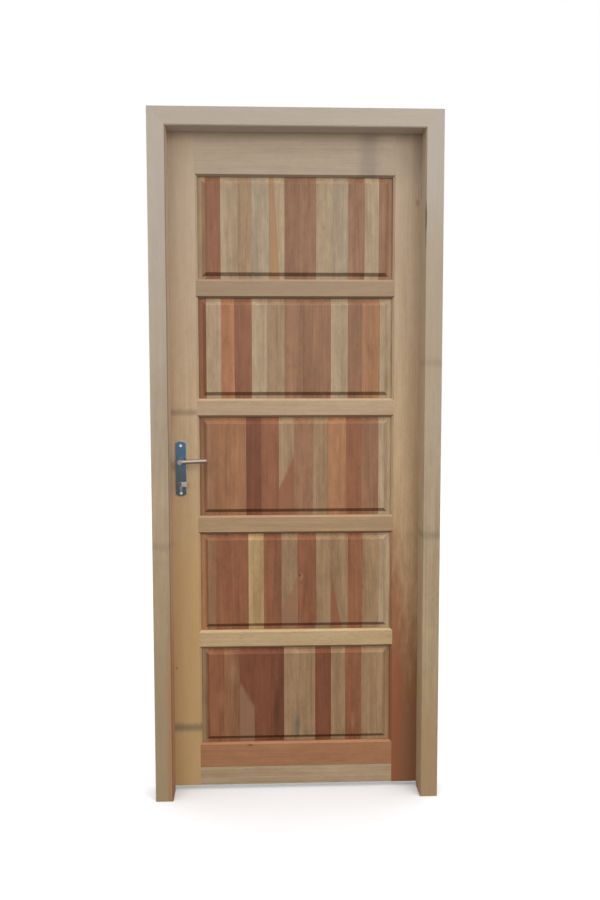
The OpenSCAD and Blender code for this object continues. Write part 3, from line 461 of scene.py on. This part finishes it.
# Raised panels. Each is glued up from narrow upright staves of mixed offcuts, then bevelled all round and
# left loose in the grooves. Some staves carry a wedge of sapwood, a small knot or a stain.
WOODS = {"pale": (171, 149, 120), "straw": (178, 148, 106), "grey": (164, 147, 124), "tan": (157, 129, 99),
         "brown": (141, 102, 75), "rose": (147, 108, 81), "orange": (161, 115, 81), "russet": (136, 88, 61),
         "dark": (118, 71, 49), "umber": (112, 67, 45), "drab": (151, 122, 92), "amber": (154, 109, 76),
         "cocoa": (137, 95, 67), "honey": (162, 122, 86), "stain": (102, 96, 86), "char": (84, 48, 32),
         "salmon": (170, 115, 81)}
PANEL_STAVES = {  # panel: its staves from the left, each with its wood and its width in mm
    "panel_1": [("tan", 34.2), ("russet", 46.4), ("pale", 54.2), ("tan", 42.5), ("grey", 56.6),
                ("pale", 47.2), ("brown", 49), ("rose", 49.3), ("pale", 55), ("grey", 46.4),
                ("rose", 51.9), ("pale", 45.6), ("rose", 54.8)],
    "panel_2": [("russet", 33.4), ("pale", 47.2), ("salmon", 41.7), ("russet", 55.1), ("pale", 48.8),
                ("tan", 53.5), ("rose", 61.4), ("brown", 42.1), ("brown", 42.1), ("pale", 55.1),
                ("brown", 44.9), ("orange", 55.9), ("pale", 51.9)],
    "panel_3": [("brown", 50.5), ("amber", 54), ("amber", 53), ("umber", 46.5), ("russet", 57.5),
                ("tan", 49.5), ("rose", 58.5), ("drab", 47), ("orange", 60), ("russet", 50),
                ("brown", 54), ("pale", 52.5)],
    "panel_4": [("orange", 27.5), ("brown", 29.5), ("russet", 52.5), ("russet", 52.5), ("straw", 50),
                ("russet", 57.5), ("drab", 50), ("russet", 59.5), ("drab", 50), ("drab", 55),
                ("russet", 47.5), ("drab", 50), ("pale", 51.5)],
    "panel_5": [("drab", 29.5), ("russet", 50.3), ("cocoa", 52.8), ("dark", 47.9), ("dark", 53.6),
                ("umber", 40.6), ("drab", 50.7), ("drab", 50.8), ("dark", 52.8), ("drab", 46.3),
                ("russet", 52.8), ("drab", 50.3), ("drab", 54.7)],
}
WEDGES = {  # panel: stave, height of the line at the stave's left edge over the panel's foot, slope, wood
    "panel_1": [(5, 0.57, -17.0, "honey")],
    "panel_3": [(5, 0.10, 2.0, "russet")],
    "panel_4": [(6, 0.075, 2.1, "brown"), (9, 0.205, -5.2, "russet")],
    "panel_5": [(3, 0.21, -1.55, "rose")],
}
MARKS = {  # panel: across from the middle, height over its foot, reach across and up, wood, strength
    "panel_1": [(0.087, 0.172, 0.010, 0.013, "orange", 0.5), (0.09, 0.171, 0.003, 0.004, "russet", 0.6)],
    "panel_2": [(-0.205, 0.105, 0.007, 0.03, "russet", 0.5), (-0.205, 0.102, 0.003, 0.005, "umber", 0.6)],
    "panel_3": [(-0.205, 0.085, 0.02, 0.05, "russet", 0.5), (0.085, 0.10, 0.012, 0.02, "tan", 0.5),
                (0.29, 0.19, 0.006, 0.03, "grey", 0.5)],
    "panel_4": [(0.016, 0.185, 0.016, 0.035, "dark", 0.7), (0.015, 0.187, 0.013, 0.02, "honey", 0.8),
                (0.012, 0.19, 0.007, 0.011, "char", 1.0), (0.024, 0.11, 0.010, 0.05, "dark", 0.5),
                (-0.19, 0.10, 0.012, 0.06, "dark", 0.5)],
    "panel_5": [(0.003, 0.07, 0.016, 0.06, "stain", 0.85), (-0.062, 0.11, 0.016, 0.12, "char", 0.8),
                (0.185, 0.07, 0.008, 0.05, "orange", 0.5), (-0.245, 0.16, 0.015, 0.06, "orange", 0.35),
                (-0.205, 0.25, 0.024, 0.06, "drab", 0.45)],
}


def make_wedge_group():
    """Part of one stave beyond a slanting line, where another shade of the same plank shows."""
    tree, given, out = new_group(
        "stave_wedge",
        [("c", "Wood"), ("v", "Place"), ("f", "Left"), ("f", "Right"), ("f", "Level"), ("f", "Slope"),
         ("c", "Shade")], [("c", "Wood")])
    spot = add(tree, "ShaderNodeSeparateXYZ", {0: given["Place"]}).outputs
    inside = calc(tree, "MULTIPLY", calc(tree, "GREATER_THAN", spot["X"], given["Left"]),
                  calc(tree, "LESS_THAN", spot["X"], given["Right"]))
    run = calc(tree, "MULTIPLY", calc(tree, "SUBTRACT", spot["X"], given["Left"]), given["Slope"])
    above = calc(tree, "SUBTRACT", calc(tree, "SUBTRACT", spot["Z"], given["Level"]), run)
    ragged = around_zero(tree, stretched_noise(tree, given["Place"], across=45.0, along=9.0, detail=1.0))
    above = calc(tree, "ADD", above, calc(tree, "MULTIPLY", ragged, 0.06))
    soft_edge = 0.014
    share = calc(tree, "MULTIPLY", ramp_between(tree, above, soft_edge, -soft_edge), inside)
    dyed = blend_colours(tree, 0.8, given["Wood"], given["Shade"], "COLOR")
    dyed = blend_colours(tree, 0.7, dyed, given["Shade"])
    tree.links.new(blend_colours(tree, share, given["Wood"], dyed), out["Wood"])
    return tree


wedge_group = make_wedge_group()


def stave_ramp(tree, across, colours, starts, edge):
    """Colour by stave, stepped at the glue lines."""
    share = add(tree, "ShaderNodeMapRange", {"Value": across, "From Min": -edge, "From Max": edge})
    ramp = add(tree, "ShaderNodeValToRGB", {"Fac": share.outputs["Result"]})
    ramp.color_ramp.interpolation = "CONSTANT"
    steps = ramp.color_ramp.elements
    for start, colour in zip(starts, colours):
        step = steps.new((start + edge) / (2 * edge)) if start > -edge else steps[0]
        step.color = colour
    steps.remove(steps[-1])
    return ramp.outputs["Color"]


GLUE_LINE = 0.0004
SEED_SPREAD = 9.0
pale_grain = srgb(255, 246, 232)
dark_grain = srgb(206, 194, 184)
glue_shade = srgb(176, 150, 128)
for seed, (panel, staves) in enumerate(PANEL_STAVES.items(), 20):
    low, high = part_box(panel)
    edge = high[0]
    tones = [srgb(*WOODS[wood]) for wood, width in staves]
    widths = [width / 1000 for wood, width in staves]
    starts = [-edge + sum(widths[:index]) for index in range(len(widths))]
    # a grey level of its own for each stave, which moves its grain away from its neighbours'
    levels = [[0.5 + 0.5 * math.sin(seed * 7.3 + index * 2.4)] * 3 + [1.0] for index in range(len(widths))]
    panel_wood = Timber(panel + "_wood", tones[0], tones[0], float(seed), figure=0.08)
    tree = panel_wood.tree
    across = part_of(tree, panel_wood.place, "X")
    stave_tone = stave_ramp(tree, across, tones, starts, edge)
    stave_level = stave_ramp(tree, across, levels, starts, edge)
    light_wood = blend_colours(tree, 0.35, stave_tone, pale_grain, "SOFT_LIGHT")
    dark_wood = blend_colours(tree, 0.75, stave_tone, dark_grain, "MULTIPLY")
    tree.links.new(light_wood, panel_wood.grain.inputs["Light wood"])
    tree.links.new(dark_wood, panel_wood.grain.inputs["Dark wood"])
    tree.links.new(calc(tree, "MULTIPLY", stave_level, SEED_SPREAD), panel_wood.grain.inputs["Seed"])
    for index, level, slope, wood in WEDGES.get(panel, []):
        wedge = add(tree, "ShaderNodeGroup", {
            "Wood": panel_wood.colour, "Place": panel_wood.place, "Left": starts[index],
            "Right": starts[index] + widths[index], "Level": low[2] + level, "Slope": slope,
            "Shade": srgb(*WOODS[wood]),
        }, node_tree=wedge_group)
        panel_wood.colour = wedge.outputs["Wood"]
    for mark_x, mark_z, reach_x, reach_z, wood, strength in MARKS[panel]:
        panel_wood.patch((mark_x, 0.0, low[2] + mark_z), (reach_x, BROAD, reach_z), srgb(*WOODS[wood]),
                         strength, edge=0.9, core=0.0)
    beside = stave_ramp(tree, calc(tree, "ADD", across, GLUE_LINE), levels, starts, edge)
    seam = calc(tree, "ABSOLUTE", calc(tree, "SUBTRACT", beside, stave_level))
    glue = calc(tree, "MULTIPLY", seam, 1.5, clamp=True)
    panel_wood.colour = blend_colours(tree, glue, panel_wood.colour, glue_shade, "MULTIPLY")
    panel_wood.greyed_and_lit_top(0.06)
    # painted shade on the bevels that look down, painted light on those that look up
    panel_wood.paint_slope_light(painted_shade_share=0.5, painted_light_share=0.5)
    panel_wood.finish(panel)
ease_edges(PANEL_STAVES, 0.0006)

# Lock plates. Stamped steel with arched ends, polished; a painted highlight lightens the chamfered rim and a
# painted reflection of the sky turns them from grey at the foot to blue at the top. Each is held to its stile
# face by two short screws.
plate_low, plate_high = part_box("front_plate")
# painted reflection: blue towards the top; painted highlight: near white on the chamfered rim
plate_steel = metal("plate_steel_painted_sky_and_rim", srgb(101, 115, 124), smoothness=0.74, wear=0.25, bump_strength=0.03,
              other=srgb(88, 119, 145), change=(plate_low[2] + 0.05, plate_high[2] - 0.03),
              rim=srgb(226, 232, 236))
dress(plate_steel, "front_plate", "rear_plate")
ease_edges(("front_plate", "rear_plate"), 0.0003)

# Levers. Turned steel, polished bright: a neck on the spindle with a straight round bar let into its side.
# Both sit on the one spindle, one on each face of the door.
bright = metal("polished_lever", srgb(196, 186, 176), smoothness=0.86, wear=0.15, bump_strength=0.03)
dress(bright, "front_lever", "rear_lever")

# Thumb turn. Cast nickel silver with a dark hub, its grip pinkish and rubbed dull by fingers; pressed on the
# front plug.
turn_axis_x = (plate_low[0] + plate_high[0]) / 2
rubbed_nickel = metal("rubbed_nickel", srgb(86, 93, 98), smoothness=0.5, wear=0.3,
                      other=srgb(186, 168, 160), axis="X", change=(turn_axis_x + 0.001, turn_axis_x + 0.003))
dress(rubbed_nickel, "thumb_turn")
ease_edges(("thumb_turn",), 0.0008)

# Cylinder. Milled brass, nickel-plated, so that its faces are grey like the plates. Housing and plugs slide
# into the lock case from one side, and one long screw through the forend holds them.
nickel = metal("nickel_plating", srgb(136, 143, 148), smoothness=0.66, wear=0.3)
dress(nickel, "cylinder_housing", "front_plug", "rear_plug")

# Follower and bolts. Cast brass, milled where it slides and left plain from the tool. They lie loose in the
# lock case under its cover, and the two bolts run out through the forend.
brass = metal("lock_brass", srgb(196, 164, 100), smoothness=0.6, wear=0.35)
dress(brass, "follower", "latch_bolt", "dead_bolt")

# Screws. Countersunk steel wood screws with a cross recess, driven flush with the plates and hinge leaves.
# The plates' screws are polished, the others zinc-plated.
SCREW_SIZES = {"Head radius": 0.004, "Head depth": 0.0022, "Shank radius": 0.002, "Recess width": 0.0009}
PLATE_SCREW_LENGTH = 0.012
WOOD_SCREW_LENGTH = 0.025
SCREW_SEED = 5
HINGE_HOLES = (-0.038, -0.014, 0.014, 0.038)  # up from a hinge leaf's middle


def make_screw_tree():
    """Screws on the points of a mesh, each with its head towards the point's aim."""
    tree = bpy.data.node_groups.new("countersunk_screws", "GeometryNodeTree")
    tree.interface.new_socket("Places", in_out="INPUT", socket_type="NodeSocketGeometry")
    for socket in (*SCREW_SIZES, "Length"):
        tree.interface.new_socket(socket, in_out="INPUT", socket_type="NodeSocketFloat")
    tree.interface.new_socket("Seed", in_out="INPUT", socket_type="NodeSocketInt")
    tree.interface.new_socket("Finish", in_out="INPUT", socket_type="NodeSocketMaterial")
    tree.interface.new_socket("Screws", in_out="OUTPUT", socket_type="NodeSocketGeometry")
    given = tree.nodes.new("NodeGroupInput").outputs

    def lowered(mesh, drop):
        """Mesh moved down by a drop."""
        shift = add(tree, "ShaderNodeCombineXYZ", {"Z": calc(tree, "MULTIPLY", drop, -1.0)}).outputs[0]
        return add(tree, "GeometryNodeTransform", {"Geometry": mesh, "Translation": shift}).outputs[0]

    def taper(wide, narrow, length):
        """Round length that narrows from its top to its foot."""
        return add(tree, "GeometryNodeMeshCone", {
            "Vertices": 32, "Radius Top": wide, "Radius Bottom": narrow, "Depth": length}).outputs["Mesh"]

    point_length = calc(tree, "MULTIPLY", given["Shank radius"], 3.0)
    under_head = calc(tree, "SUBTRACT", given["Length"], given["Head depth"])
    shank_length = calc(tree, "SUBTRACT", under_head, point_length)
    head = taper(given["Head radius"], given["Shank radius"], given["Head depth"])
    head = lowered(head, given["Head depth"])
    slot_length = calc(tree, "MULTIPLY", given["Head radius"], 1.2)
    slot_depth = calc(tree, "MULTIPLY", given["Head depth"], 1.2)
    recessed = add(tree, "GeometryNodeMeshBoolean", {"Mesh 1": head}, operation="DIFFERENCE")
    slot_width = given["Recess width"]
    for side_x, side_y in ((slot_length, slot_width), (slot_width, slot_length)):
        size = add(tree, "ShaderNodeCombineXYZ", {"X": side_x, "Y": side_y, "Z": slot_depth}).outputs[0]
        slot = add(tree, "GeometryNodeMeshCube", {"Size": size})
        tree.links.new(slot.outputs["Mesh"], recessed.inputs["Mesh 2"])
    shank_foot = calc(tree, "ADD", given["Head depth"], shank_length)
    shank = lowered(taper(given["Shank radius"], given["Shank radius"], shank_length), shank_foot)
    tip_radius = calc(tree, "MULTIPLY", given["Shank radius"], 0.1)
    point = lowered(taper(given["Shank radius"], tip_radius, point_length), given["Length"])
    screw = tree.nodes.new("GeometryNodeJoinGeometry")
    for mesh in (point, shank, recessed.outputs["Mesh"]):
        tree.links.new(mesh, screw.inputs["Geometry"])
    aim = add(tree, "GeometryNodeInputNamedAttribute", {"Name": "aim"}, data_type="FLOAT_VECTOR")
    facing = add(tree, "FunctionNodeAlignRotationToVector", {"Vector": aim.outputs["Attribute"]}, axis="Z")
    turn = add(tree, "FunctionNodeRandomValue", {"Seed": given["Seed"]}, data_type="FLOAT").outputs[1]
    turn = calc(tree, "MULTIPLY", turn, math.pi / 2)
    turned = add(tree, "ShaderNodeCombineXYZ", {"Z": turn}).outputs[0]
    turned = add(tree, "FunctionNodeEulerToRotation", {"Euler": turned}).outputs[0]
    facing = add(tree, "FunctionNodeRotateRotation", {"Rotation": facing.outputs[0], "Rotate By": turned},
                 rotation_space="LOCAL")
    points = add(tree, "GeometryNodeMeshToPoints", {"Mesh": given["Places"]}).outputs[0]
    driven = add(tree, "GeometryNodeInstanceOnPoints", {
        "Points": points, "Instance": screw.outputs[0], "Rotation": facing.outputs[0]}).outputs[0]
    driven = add(tree, "GeometryNodeRealizeInstances", {"Geometry": driven}).outputs[0]
    plated = add(tree, "GeometryNodeSetMaterial", {"Geometry": driven, "Material": given["Finish"]})
    tree.links.new(plated.outputs[0], tree.nodes.new("NodeGroupOutput").inputs["Screws"])
    return tree


screw_tree = make_screw_tree()


def drive_screws(name, body, finish, length, seats, replaced):
    """One mesh of screws for a body; a seat is a head's middle and the way it faces."""
    mesh = bpy.data.meshes.new(name)
    mesh.from_pydata([place for place, aim in seats], [], [])
    aims = mesh.attributes.new("aim", "FLOAT_VECTOR", "POINT")
    for entry, (place, aim) in zip(aims.data, seats):
        entry.vector = aim
    piece = bpy.data.objects.new(name, mesh)
    bpy.context.scene.collection.objects.link(piece)
    driver = piece.modifiers.new("screws", "NODES")
    driver.node_group = screw_tree
    values = {**SCREW_SIZES, "Length": length, "Seed": SCREW_SEED, "Finish": finish}
    for item in screw_tree.interface.items_tree:
        if item.in_out == "INPUT" and item.name in values:
            driver[item.identifier] = values[item.name]
    made = bpy.data.meshes.new_from_object(piece.evaluated_get(bpy.context.evaluated_depsgraph_get()))
    piece.modifiers.clear()
    piece.data = made
    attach(piece, body)
    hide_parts(*replaced)


def end_seats(node, axis, aim):
    """Seats of a pair of screws at the top and bottom of a node, with the head's face on one axis."""
    low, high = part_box(node)
    seats = []
    for level in (low[2] + SCREW_SIZES["Head radius"], high[2] - SCREW_SIZES["Head radius"]):
        place = [(low[0] + high[0]) / 2, (low[1] + high[1]) / 2, level]
        place[axis] = high[axis] if aim[axis] > 0 else low[axis]
        seats.append((place, aim))
    return seats


def hinge_seats(node, aim):
    """Seats of a hinge leaf's screws: four over each leaf, in two staggered rows."""
    low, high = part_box(node)
    face = high[0] if aim[0] > 0 else low[0]
    rows = (low[1] + SCREW_SIZES["Head radius"], high[1] - SCREW_SIZES["Head radius"])
    seats = []
    for hinge in HINGES:
        leaf_low, leaf_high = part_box(hinge + "_hinge_door_leaf")
        middle = (leaf_low[2] + leaf_high[2]) / 2
        for index, up in enumerate(HINGE_HOLES):
            seats.append(((face, rows[index % 2], middle + up), aim))
    return seats


glinting = metal("glinting_screws", srgb(232, 240, 248), smoothness=0.6, wear=0.1)
drive_screws("plate_screws", "leaf", glinting, PLATE_SCREW_LENGTH,
             end_seats("front_plate_screws", 1, (0, -1, 0)) + end_seats("rear_plate_screws", 1, (0, 1, 0)),
             ("front_plate_screws", "rear_plate_screws"))
drive_screws("frame_screws", "frame", zinc, WOOD_SCREW_LENGTH,
             end_seats("strike_screws", 0, (1, 0, 0)) + hinge_seats("hinge_frame_screws", (-1, 0, 0)),
             ("strike_screws", "hinge_frame_screws"))
drive_screws("leaf_screws", "leaf", zinc, WOOD_SCREW_LENGTH,
             end_seats("forend_screws", 0, (-1, 0, 0)) + hinge_seats("hinge_door_screws", (1, 0, 0)),
             ("forend_screws", "hinge_door_screws"))

# Stage. A pale studio floor that takes the door's shadow, soft light from a sky that is brighter above, and
# a broad lamp on each side in front, the right one stronger. The camera stands as the photographer did.


def stage_material():
    """Pale floor that the camera sees near white, and that throws only a little light back on the door."""
    material = bpy.data.materials.new("studio_floor")
    material.use_nodes = True
    tree = material.node_tree
    shader = tree.nodes["Principled BSDF"]
    place = add(tree, "ShaderNodeTexCoord").outputs["Object"]
    dust = add(tree, "ShaderNodeTexNoise", {"Vector": place, "Scale": 3.0}).outputs["Fac"]
    seen_tone = blend_colours(tree, dust, srgb(236, 236, 236), srgb(244, 244, 244))
    thrown_tone = srgb(112, 106, 98)
    seen = add(tree, "ShaderNodeLightPath").outputs["Is Camera Ray"]
    tree.links.new(blend_colours(tree, seen, thrown_tone, seen_tone), shader.inputs["Base Color"])
    shader.inputs["Roughness"].default_value = 0.9
    shader.inputs["Emission Color"].default_value = (1.0, 1.0, 1.0, 1.0)
    tree.links.new(calc(tree, "MULTIPLY", seen, 0.1), shader.inputs["Emission Strength"])
    return material


FLOOR_HALF = 12.0
floor_corners = [(-FLOOR_HALF, -FLOOR_HALF, 0.0), (FLOOR_HALF, -FLOOR_HALF, 0.0),
                 (FLOOR_HALF, FLOOR_HALF, 0.0), (-FLOOR_HALF, FLOOR_HALF, 0.0)]
floor_mesh = bpy.data.meshes.new("studio_floor")
floor_mesh.from_pydata(floor_corners, [], [(0, 1, 2, 3)])
floor = bpy.data.objects.new("studio_floor", floor_mesh)
bpy.context.scene.collection.objects.link(floor)
floor_mesh.materials.append(stage_material())

world = bpy.data.worlds.new("studio_sky")
bpy.context.scene.world = world
world.use_nodes = True
sky = world.node_tree
ground_light = (0.1, 0.096, 0.09, 1.0)
level_light = (0.62, 0.63, 0.64, 1.0)
top_light = (1.4, 1.42, 1.45, 1.0)
white = (1.0, 1.0, 1.0, 1.0)
height = part_of(sky, add(sky, "ShaderNodeTexCoord").outputs["Generated"], "Z")
dome = blend_colours(sky, ramp_between(sky, height, -0.1, 0.15), ground_light, level_light)
dome = blend_colours(sky, ramp_between(sky, height, 0.15, 0.95), dome, top_light)
path = add(sky, "ShaderNodeLightPath").outputs
open_view = calc(sky, "MAXIMUM", path["Is Camera Ray"], path["Is Transmission Ray"])
open_view = calc(sky, "MAXIMUM", open_view, path["Is Glossy Ray"])
sky.links.new(blend_colours(sky, open_view, dome, white), sky.nodes["Background"].inputs["Color"])

LAMP_WIDTH = 3.0
LAMP_HEIGHT = 2.5
LAMP_AIM = Vector((0.0, 0.0, 0.9))
for lamp_name, place, watts in (("right_lamp", (2.5, -4.2, 2.7), 97.0),
                                ("left_lamp", (-2.5, -4.2, 2.5), 50.5)):
    lamp_data = bpy.data.lights.new(lamp_name, "AREA")
    lamp_data.shape = "RECTANGLE"
    lamp_data.size = LAMP_WIDTH
    lamp_data.size_y = LAMP_HEIGHT
    lamp_data.energy = watts
    lamp = bpy.data.objects.new(lamp_name, lamp_data)
    lamp.location = place
    lamp.rotation_euler = (LAMP_AIM - lamp.location).to_track_quat("-Z", "Y").to_euler()
    bpy.context.scene.collection.objects.link(lamp)

CAMERA_DIP = 4.727  # degrees, as the next two
CAMERA_ROLL = 0.064
CAMERA_TURN = -2.422
camera_data = bpy.data.cameras.new("camera")
camera_data.sensor_fit = "VERTICAL"
camera_data.sensor_height = 36.0
camera_data.lens = 36.0
camera = bpy.data.objects.new("camera", camera_data)
camera.location = (-0.1076, -2.8578, 1.3510)
camera.rotation_euler = [math.radians(angle) for angle in (90 - CAMERA_DIP, CAMERA_ROLL, CAMERA_TURN)]
bpy.context.scene.collection.objects.link(camera)
bpy.context.scene.camera = camera
bpy.context.scene.view_settings.view_transform = "Standard"
